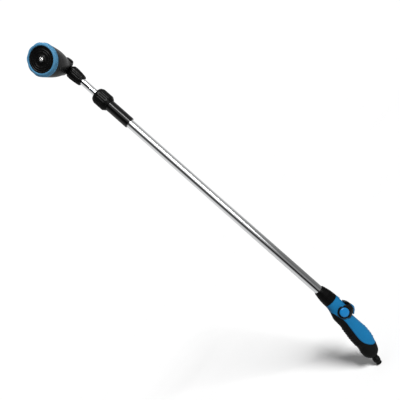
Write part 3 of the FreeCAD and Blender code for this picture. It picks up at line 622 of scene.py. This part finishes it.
def lever_side_outline():
    """Side plate of the lever: a round disc with a blunt corner under the thumb pad."""
    disc = [(14 * math.cos(math.radians(a)), 14 * math.sin(math.radians(a))) for a in range(70, 247, 6)]
    corner = filleted(
        [(-4.6, -13.4, 3), (0.5, -16.9, 2.5), (5.5, -16.5, 2), (9.4, -14.6, 1.5), (19.4, -7.6, 3),
         (21, -2, 1.5), (20.2, 1.4, 1), (15, 6.4, 2.5), (8.5, 11.4, 3)]
    )
    return disc + corner


def make_lever():
    for side, place in (("left", VALVE_LEFT), ("right", VALVE_RIGHT)):
        flip = Matrix.Scale(-1, 4, Vector((0, 1, 0))) if side == "right" else Matrix.Identity(4)
        outline = lever_side_outline()
        plate = slab(outline, 17, 20, 0.7)
        # the valve frames look along opposite ways, so one side's outline is mirrored
        plate.transform(flip)
        new_piece("lever_plate_" + side, plate, place, "thumb_valve", "gloss_black", "thumb_lever")
        cap_outline = filleted(
            [(0, 19.6, 0), (10.1, 19.6, 0), (10.1, 20.7, 0.5), (8.6, 22.1, 1.6), (5, 22.6, 3), (0, 22.6, 0)]
        )
        cap = lathe(cap_outline, 72)
        new_piece("valve_cap_" + side, cap, place, "thumb_valve", "cap_blue", "lever_caps")
    bridge = filleted(
        [(9, -17, 0.6), (12, -15.4, 1), (19.4, -9.8, 2), (21, -4.4, 1.2), (20.4, -1.6, 1),
         (17.6, -1.6, 0.4), (17.2, -5, 2), (13.4, -13, 2)]
    )
    new_piece(
        "lever_bridge", slab(bridge, -19, 19, 0.7), VALVE_LEFT, "thumb_valve", "gloss_black", "thumb_lever"
    )
    ramp = filleted(
        [(17.9, -3, 0.5), (20.8, -5.6, 0.5), (23.6, -3, 1.5), (23, 1.5, 3), (20.8, 6, 3), (17.8, 10.4, 0.8),
         (15.4, 8, 0.8), (16.8, 3, 2)]
    )
    new_piece("lever_ramp", slab(ramp, -8, 8, 1.0), VALVE_LEFT, "thumb_valve", "gloss_black", "thumb_lever")
    pad = filleted(
        [(9.3, -18.2, 0.5), (11.7, -18.6, 1), (19.5, -13.4, 3), (23.3, -8.2, 3), (23.9, -4.2, 1),
         (21.3, -3, 0.6), (20.5, -6.8, 2), (17.2, -10.6, 2)]
    )
    new_piece("lever_pad", slab(pad, -18, 18, 1.0), VALVE_LEFT, "thumb_valve", "handle_blue", "thumb_pad")


# ---------------------------------------------------------------- tubes and lock


def make_nose():
    outline = filleted(
        [(10, 180, 0), (10, 199.2, 0.4), (10.9, 200.6, 0.5), (11.9, 200.6, 0.5), (13.2, 195, 4),
         (15.4, 184.5, 10), (16.5, 173, 10), (16.7, 168.4, 0.8), (16.3, 167.3, 0.5),
         (12.6, 167.3, 0), (12.6, 180, 0)]
    )

    def fluted(radius, height, angle):
        window = step_up(170, 173, height) * (1 - step_up(191, 196, height)) * step_up(12.7, 13, radius)
        return radius - 0.35 * window * (0.5 - 0.5 * math.cos(angle * 28)), height

    nose = lathe(densified(outline, 1.5), 224, fluted, ring_shaped=True)
    new_piece("nose_cone", nose, TUBE, "handle", "black_plastic", "nose_collar")


def tube_piece(name, outer, wall, low, high, body, node):
    lip = wall * 0.4
    outline = filleted(
        [(outer - wall, low, lip), (outer, low, lip), (outer, high, lip), (outer - wall, high, lip)], 3
    )
    new_piece(name, lathe(outline, 128, ring_shaped=True), TUBE, body, "bright_tube", node)


def make_tubes():
    tube_piece("long_tube", 10, 0.8, 159, 806, "handle", "outer_tube")
    tube_piece("upper_tube", 7.75, 0.7, 250, 905, "inner_tube", "inner_tube")


def make_lock():
    sleeve = filleted(
        [(10.02, 742.5, 0.2), (12.1, 742.5, 0.6), (12.7, 744.2, 0.8), (12.7, 806, 0), (10.02, 806, 0)]
    )
    sleeve_skin = lathe(sleeve, 96, ring_shaped=True)
    new_piece("lock_sleeve_skin", sleeve_skin, TUBE, "handle", "gloss_black", "lock_sleeve")
    collar = filleted(
        [(13.05, 800, 0.2), (13.8, 800, 0.4), (18.2, 806.2, 1), (18.6, 808, 1), (18.6, 829, 2),
         (17.6, 832.4, 2), (15.2, 836.6, 2), (11.8, 838.4, 1), (8.1, 838.8, 0.3), (8.1, 833.4, 0),
         (10.45, 833.4, 0), (13.05, 811, 0)]
    )

    def ribbed(radius, height, angle):
        window = step_up(807.5, 810, height) * (1 - step_up(827.5, 831, height)) * step_up(15, 16.5, radius)
        wave = abs(math.sin(angle * 9)) ** 0.7
        return radius - 0.7 * window * (1 - wave), height

    skin = lathe(densified(collar, 1.2), 216, ribbed, ring_shaped=True)
    new_piece("twist_collar_skin", skin, TUBE, "twist_collar", "black_plastic", "twist_collar")


def densified(points, gap):
    """The same closed outline with extra points on its long edges."""
    dense = []
    for first, second in zip(points, points[1:] + points[:1]):
        steps = max(1, int(math.dist(first, second) / gap))
        for step in range(steps):
            t = step / steps
            dense.append(
                (first[0] + (second[0] - first[0]) * t, first[1] + (second[1] - first[1]) * t)
            )
    return dense


# ---------------------------------------------------------------- neck and head


NECK_FOOT, NECK_HEAD = -48.2, -15.0      # from the knuckle, along the tube


def make_neck():
    low, high = NECK_FOOT, NECK_HEAD
    outline = filleted(
        [(7.8, low + 1.4, 0.3), (8.8, low, 0.4), (11.2, low, 0.8), (12.1, low + 1.8, 0.8),
         (13.6, low + 12, 12), (14.5, low + 24, 10),
         (14.3, high - 2.6, 1.6), (12.4, high, 1), (4, high, 0), (4, low + 26, 0),
         (7.8, low + 26, 0)]
    )

    def ribbed(radius, height, angle):
        window = step_up(low + 2.4, low + 5, height) * (1 - step_up(high - 5.5, high - 3, height))
        wave = 0.5 + 0.5 * math.cos(angle * 14)
        return radius - 0.75 * window * step_up(11, 11.8, radius) * wave ** 2, height

    cone = lathe(densified(outline, 1.4), 224, ribbed, ring_shaped=True)
    new_piece("neck_cone", cone, NECK, "inner_tube", "black_plastic", "pivot_neck")
    barrel_outline = filleted([(5.6, -9.1, 0.2), (9.6, -9.1, 0.6), (9.6, 9.1, 0.6), (5.6, 9.1, 0.2)])
    barrel = lathe(barrel_outline, 96, ring_shaped=True)
    new_piece("neck_barrel", barrel, KNUCKLE, "inner_tube", "black_plastic", "pivot_neck")
    stem = filleted([(-9.1, -7.6, 1.2), (9.1, -7.6, 1.2), (9.1, 7.6, 1.2), (-9.1, 7.6, 1.2)])
    new_piece(
        "neck_stem", slab(stem, high - 1, -6.5, 0.3), NECK, "inner_tube", "black_plastic", "pivot_neck"
    )


# Half sizes of the housing along its own axis: distance, along the pin, across the pin.
HOUSING = [
    (-10.7, 16.0, 0.0),
    (-10.2, 16.3, 3.2),
    (-8.5, 16.6, 6.5),
    (-5.5, 16.6, 9.2),
    (0, 16.7, 10.8),
    (6, 16.9, 11.2),
    (12, 17.6, 11.8),
    (16, 18.6, 14.4),
    (20, 20.0, 18.6),
    (26, 22.3, 22.0),
    (34, 24.8, 24.8),
    (42, 26.9, 26.9),
    (50, 28.5, 28.5),
    (58, 29.7, 29.7),
    (66, 30.6, 30.6),
    (76, 31.5, 31.5),
    (83.6, 32.0, 32.0),
]


def housing_surface():
    segments, steps = 128, 80
    along = [(row[0], row[1]) for row in HOUSING]
    across = [(row[0], row[2]) for row in HOUSING]
    maker = bmesh.new()
    rings = []
    for step in range(steps + 1):
        t = step / steps
        depth = HOUSING[0][0] + (HOUSING[-1][0] - HOUSING[0][0]) * (t ** 1.15)
        half_x, half_y = smooth_curve(along, depth), max(smooth_curve(across, depth), 0.05)
        squareness = 2 + 2.6 * (1 - step_up(6, 30, depth))
        ring = []
        for index in range(segments):
            angle = TAU * index / segments
            cosine, sine = math.cos(angle), math.sin(angle)
            reach = (abs(cosine) ** squareness + abs(sine) ** squareness) ** (-1 / squareness)
            ring.append(maker.verts.new((half_x * reach * cosine, half_y * reach * sine, depth)))
        rings.append(ring)
    lip = [(31.9, 84.6), (31.5, 85.1), (29.1, 85.2), (29, 88), (20, 88), (20, 80)]
    for radius, depth in lip:
        rings.append(circle_of(maker, radius, depth, segments))
    bridged(maker, rings)
    maker.faces.new(rings[0])
    maker.faces.new(rings[-1])
    return maker


def box_maker(low, high):
    maker = bmesh.new()
    bmesh.ops.create_cube(maker, size=1)
    size = Vector(high) - Vector(low)
    centre = (Vector(high) + Vector(low)) / 2
    for vert in maker.verts:
        vert.co = Vector((vert.co.x * size.x, vert.co.y * size.y, vert.co.z * size.z)) + centre
    return maker


def cut_away(piece, maker, place):
    """Cut a shape out of a piece, then drop the cutting shape."""
    mesh = bpy.data.meshes.new("cutter")
    bmesh.ops.recalc_face_normals(maker, faces=maker.faces)
    maker.transform(place)
    maker.to_mesh(mesh)
    maker.free()
    cutter = bpy.data.objects.new("cutter", mesh)
    bpy.context.scene.collection.objects.link(cutter)
    modifier = piece.modifiers.new("cut", "BOOLEAN")
    modifier.operation = "DIFFERENCE"
    modifier.solver = "EXACT"
    modifier.object = cutter
    apply_modifiers(piece)
    bpy.data.objects.remove(cutter)
    bpy.data.meshes.remove(mesh)


def resharpen(piece, degrees):
    """Smooth shading with sharp edges only where faces meet at more than an angle."""
    maker = bmesh.new()
    maker.from_mesh(piece.data)
    for face in maker.faces:
        face.smooth = True
    for edge in maker.edges:
        edge.smooth = not (edge.is_manifold and edge.calc_face_angle(0) > math.radians(degrees))
    maker.to_mesh(piece.data)
    maker.free()


def make_housing():
    housing = new_piece("housing_skin", housing_surface(), HEAD, "head", "black_plastic", "head_housing")
    cut_away(housing, box_maker((-9.45, -20, -20), (9.45, 20, 10.3)), HEAD)
    resharpen(housing, 35)
    for side, turn in (("left", 0), ("right", math.pi)):
        cap = filleted(
            [(0, 16.3, 0), (8.4, 16.3, 0), (8.4, 17.2, 0.4), (6.8, 18.7, 1), (4, 19.2, 1), (0, 19.2, 0)]
        )
        place = KNUCKLE @ Matrix.Rotation(turn, 4, "X")
        new_piece("pin_cap_" + side, lathe(cap, 64), place, "head", "black_plastic", "pivot_caps")


def make_dial():
    outline = filleted(
        [(29.35, 85.6, 0), (32.4, 85.6, 0.6), (33.2, 86.9, 1), (33.1, 89.4, 5), (31.2, 92.6, 3),
         (29, 94.2, 2), (27, 94.4, 0.6), (26.3, 93.6, 0.4), (26.1, 92.6, 0.2), (26.05, 90.4, 0),
         (26.05, 88.6, 0),
         (29.35, 88.6, 0)]
    )

    def scalloped(radius, height, angle):
        window = step_up(85.8, 87.4, height) * step_up(28.5, 31.5, radius)
        wave = 0.5 + 0.5 * math.cos(angle * 10)
        return radius - 0.9 * window * wave ** 1.5, height

    ring = lathe(densified(outline, 0.9), 240, scalloped, ring_shaped=True)
    new_piece("dial_skin", ring, HEAD, "dial", "dial_blue", "dial_ring")


FACE_FRONT, FACE_BACK, FACE_RADIUS = 92.4, 90.8, 26.0
# Rings of spray holes: count, radius of the ring, radius of a hole.
SPRAY_RINGS = [(8, 10.8, 0.7), (12, 12.9, 0.7), (16, 17, 0.7), (24, 21.4, 0.6)]


def face_height(radius):
    """Relief of the spray face: a raised hub, a shallow dish, two fine ribs and a rim."""
    height = FACE_FRONT
    height += 0.6 * (1 - step_up(7, 8, radius))
    height -= 0.6 * step_up(8.4, 9.2, radius) * (1 - step_up(23, 23.8, radius))
    height += 0.25 * (bump(14.8, 0.9, radius) + bump(19.3, 0.9, radius))
    return height


def make_face():
    maker = bmesh.new()
    radii = [2.1, 4, 6.9, 7.3, 7.7, 8.1, 8.5, 8.9, 9.3, 11, 14.3, 14.6, 14.8, 15, 15.3, 17, 18.8, 19.1,
             19.3, 19.5, 19.8, 21.5, 22.9, 23.2, 23.6, 23.9, 24.8]
    segments = 120
    rings = []
    for radius in radii:
        rings.append(circle_of(maker, radius, face_height(radius), segments))
    for radius, height in ((FACE_RADIUS, FACE_FRONT - 0.2), (FACE_RADIUS, FACE_BACK), (2.1, FACE_BACK)):
        rings.append(circle_of(maker, radius, height, segments))
    bridged(maker, rings + rings[:1])
    face = new_piece("face_skin", maker, HEAD, "dial", "black_plastic", "spray_face")
    holes = []
    for count, radius, size in SPRAY_RINGS:
        for index in range(count):
            angle = TAU * index / count
            drill = bmesh.new()
            bmesh.ops.create_cone(
                drill, cap_ends=True, segments=12, radius1=size * 0.7, radius2=size, depth=3.4
            )
            drill.transform(
                Matrix.Translation((radius * math.cos(angle), radius * math.sin(angle), FACE_FRONT - 0.4))
            )
            holes.append(drill)
    cut_away(face, merged(*holes), HEAD)
    resharpen(face, 30)


def make_screw():
    low = FACE_FRONT + 0.6
    washer = filleted([(2.05, low - 0.8, 0), (5.4, low - 0.8, 0.2), (5.4, low, 0.25), (2.05, low, 0)])
    washer_skin = lathe(washer, 72, ring_shaped=True)
    new_piece("washer_skin", washer_skin, HEAD, "head", "bright_steel", "screw_washer")
    head = filleted(
        [(0, low - 12, 0), (2, low - 11, 0), (2, low, 0), (3.9, low, 0.2), (3.9, low + 0.8, 0.5),
         (3, low + 1.8, 1), (1.7, low + 2, 0.2), (1.5, low + 0.7, 0.1), (0, low + 0.6, 0)]
    )
    new_piece("screw_skin", lathe(head, 72), HEAD, "head", "bright_steel", "centre_screw")


# ---------------------------------------------------------------- hose end


def make_plug():
    outline = filleted(
        [(3.6, 0, 0.3), (6.6, 0, 0.7), (6.6, 5.4, 0.3), (7.9, 7.4, 0.8), (7.9, 13, 1.2), (6.7, 15.2, 0.4),
         (7.2, 15.8, 0.3), (7.2, 17.6, 0.5), (5.6, 18.6, 0.4), (5.6, 36, 0), (3.6, 36, 0)]
    )

    def knurled(radius, height, angle):
        window = step_up(6.2, 7.6, height) * (1 - step_up(12.6, 14.4, height)) * step_up(7, 7.4, radius)
        return radius - 0.5 * window * (0.5 + 0.5 * math.cos(angle * 20)), height

    plug = lathe(densified(outline, 0.9), 240, knurled, ring_shaped=True)
    new_piece("plug_skin", plug, HANDLE, "handle", "black_plastic", "hose_plug")


# ---------------------------------------------------------------- studio


TENT_RADIUS, TENT_HEIGHT = 0.25, 2.6
# Strips of the tent: bearing in degrees from the camera side towards the thumb side, brightness.
UPPER_STRIPS = [(-180, 0.66), (-119, 0.72), (-97, 0.82), (-84, 0.72), (-66, 0.32), (-51, 0.07), (-38, 0.01),
                (-25, 0.05), (-15, 0.3), (-5, 0.78), (4, 1.15), (26, 1.15), (38, 1.05), (51, 0.66),
                (65, 0.38), (80, 0.33), (98, 0.5), (119, 0.78), (150, 0.9), (180, 0.9)]
LOWER_STRIPS = [(-180, 0.6), (-119, 0.64), (-97, 0.68), (-82, 0.72), (-65, 0.6), (-51, 0.2), (-38, 0.02),
                (-25, 0), (-12, 0.04), (0, 0.2), (12, 0.3), (25, 0.24), (38, 0.16), (51, 0.145), (80, 0.19),
                (119, 0.22), (180, 0.3)]
# A narrow lamp in the tent, seen as a line on glossy plastic: bearing, width, brightness.
LAMP_BEARING, LAMP_WIDTH, LAMP_GLOW = 27, 10, 14
TENT_BLEND = (0.2, 0.52)     # heights between which the lower strips turn into the upper ones


def glossy_only(item):
    """Let a card show in reflections and nowhere else."""
    item.visible_camera = False
    item.visible_diffuse = False
    item.visible_shadow = False
    item.visible_transmission = False


def reflection_tent():
    """An upright cylinder of light and dark strips that the bright tubes mirror."""
    tent = bpy.data.objects.new("tent", bpy.data.meshes.new("tent"))
    wall = lathe([(TENT_RADIUS, MM), (TENT_RADIUS, TENT_HEIGHT)], 96)
    wall.to_mesh(tent.data)
    wall.free()
    tent.location = (TUBE_X, 0, cad_box[0].z)
    bpy.context.scene.collection.objects.link(tent)
    glossy_only(tent)
    material = bpy.data.materials.new("tent")
    material.use_nodes = True
    tree = material.node_tree
    tree.nodes.clear()

    def node(kind, **inputs):
        item = tree.nodes.new(kind)
        for socket, value in inputs.items():
            if isinstance(value, bpy.types.NodeSocket):
                tree.links.new(value, item.inputs[socket])
            else:
                item.inputs[socket].default_value = value
        return item

    def ramp(factor, stops):
        item = node("ShaderNodeValToRGB", Fac=factor)
        elements = item.color_ramp.elements
        while len(elements) < len(stops):
            elements.new(0.5)
        for element, (angle, level) in zip(elements, stops):
            element.position = 0.5 + angle / 360
            element.color = (level, level, level, 1)
        return item.outputs["Color"]

    place = tree.nodes.new("ShaderNodeTexCoord")
    split = node("ShaderNodeSeparateXYZ", Vector=place.outputs["Object"])
    behind = tree.nodes.new("ShaderNodeMath")
    behind.operation = "MULTIPLY"
    tree.links.new(split.outputs["Y"], behind.inputs[0])
    behind.inputs[1].default_value = -1
    bearing = tree.nodes.new("ShaderNodeMath")
    bearing.operation = "ARCTAN2"
    tree.links.new(split.outputs["X"], bearing.inputs[0])
    tree.links.new(behind.outputs[0], bearing.inputs[1])
    around = node("ShaderNodeMapRange", Value=bearing.outputs[0])
    around.inputs["From Min"].default_value = -math.pi
    around.inputs["From Max"].default_value = math.pi
    upper = ramp(around.outputs[0], UPPER_STRIPS)
    lower = ramp(around.outputs[0], LOWER_STRIPS)
    rise = node("ShaderNodeMapRange", Value=split.outputs["Z"])
    rise.interpolation_type = "SMOOTHSTEP"
    rise.inputs["From Min"].default_value, rise.inputs["From Max"].default_value = TENT_BLEND
    mix = tree.nodes.new("ShaderNodeMix")
    mix.data_type = "RGBA"
    tree.links.new(rise.outputs[0], mix.inputs["Factor"])
    colour_inputs = [socket for socket in mix.inputs if socket.type == "RGBA"]
    tree.links.new(lower, colour_inputs[0])
    tree.links.new(upper, colour_inputs[1])
    colour = next(socket for socket in mix.outputs if socket.type == "RGBA")
    lamp = node("ShaderNodeMath", Value=bearing.outputs[0])
    lamp.operation = "COMPARE"
    lamp.inputs[1].default_value = math.radians(LAMP_BEARING)
    lamp.inputs[2].default_value = math.radians(LAMP_WIDTH / 2)
    shown = node("ShaderNodeMath", Value=lamp.outputs[0])
    shown.operation = "MULTIPLY"
    tree.links.new(rise.outputs[0], shown.inputs[1])
    strength = node("ShaderNodeMapRange", Value=shown.outputs[0])
    strength.inputs["To Min"].default_value = 1.0
    strength.inputs["To Max"].default_value = LAMP_GLOW
    glow = node("ShaderNodeEmission", Color=colour, Strength=strength.outputs[0])
    node("ShaderNodeOutputMaterial", Surface=glow.outputs[0])
    tent.data.materials.append(material)


FLOOR_SIZE = 60
FLOOR_GAP = 0.0002
FLOOR_WHITE = (0.9, 0.9, 0.9)
ROOM_LIGHT, BACKDROP_LIGHT, SUN_LIGHT = 0.22, 1.05, 5.6
SUN_BEARING = Vector((-0.458, 0.889))     # the way its light travels, seen from above
SUN_HEIGHT = math.radians(30)
SUN_SOFTNESS = math.radians(15)


def make_studio():
    lowest = cad_box[0].z
    maker = bmesh.new()
    bmesh.ops.create_grid(maker, x_segments=1, y_segments=1, size=FLOOR_SIZE)
    mesh = bpy.data.meshes.new("floor")
    maker.to_mesh(mesh)
    maker.free()
    floor = bpy.data.objects.new("floor", mesh)
    floor.location = (0, 0, lowest - FLOOR_GAP)
    bpy.context.scene.collection.objects.link(floor)
    paper = Look("floor_paper", FLOOR_WHITE, 1.0, specular=0.0)
    paper.colour_from(paper.noise(2, 2), [(0.3, FLOOR_WHITE), (0.7, (0.92, 0.92, 0.92))])
    mesh.materials.append(paper.material)

    world = bpy.data.worlds.new("studio")
    world.use_nodes = True
    tree = world.node_tree
    dim = tree.nodes["Background"]
    dim.inputs["Color"].default_value = (1, 1, 1, 1)
    dim.inputs["Strength"].default_value = ROOM_LIGHT
    backdrop = tree.nodes.new("ShaderNodeBackground")
    backdrop.inputs["Color"].default_value = (1, 1, 1, 1)
    backdrop.inputs["Strength"].default_value = BACKDROP_LIGHT
    path = tree.nodes.new("ShaderNodeLightPath")
    choice = tree.nodes.new("ShaderNodeMixShader")
    tree.links.new(path.outputs["Is Camera Ray"], choice.inputs["Fac"])
    tree.links.new(dim.outputs[0], choice.inputs[1])
    tree.links.new(backdrop.outputs[0], choice.inputs[2])
    tree.links.new(choice.outputs[0], tree.nodes["World Output"].inputs["Surface"])
    bpy.context.scene.world = world

    sun = bpy.data.lights.new("sun", "SUN")
    sun.energy = SUN_LIGHT
    sun.angle = SUN_SOFTNESS
    lamp = bpy.data.objects.new("sun", sun)
    down = Vector((SUN_BEARING.x, SUN_BEARING.y, -math.tan(SUN_HEIGHT)))
    lamp.rotation_euler = down.to_track_quat("-Z", "Y").to_euler()
    bpy.context.scene.collection.objects.link(lamp)
    reflection_tent()


# Camera: it looks level along +Y and is rolled so that the wand leans across the picture.
LENS = 37.8
SENSOR = 36.0
DISTANCE = 0.903
ROLL = math.radians(48.545)
AIM = Vector((0.0073, 0, 0.5202))


def make_camera():
    camera = bpy.data.cameras.new("camera")
    camera.lens = LENS
    camera.sensor_width = SENSOR
    item = bpy.data.objects.new("camera", camera)
    right = Vector((math.cos(ROLL), 0, -math.sin(ROLL)))
    up = Vector((math.sin(ROLL), 0, math.cos(ROLL)))
    back = Vector((0, -1, 0))
    turn = Matrix((right, up, back)).transposed().to_4x4()
    item.matrix_world = Matrix.Translation(AIM + back * DISTANCE) @ turn
    bpy.context.scene.collection.objects.link(item)
    bpy.context.scene.camera = item


def main():
    bpy.context.scene.view_settings.view_transform = "Standard"
    make_camera()
    make_studio()
    dress_cad_nodes()
    make_grip()
    make_grip_ends()
    make_valve_boss()
    make_lever()
    make_nose()
    make_tubes()
    make_lock()
    make_neck()
    make_housing()
    make_dial()
    make_face()
    make_screw()
    make_plug()


main()
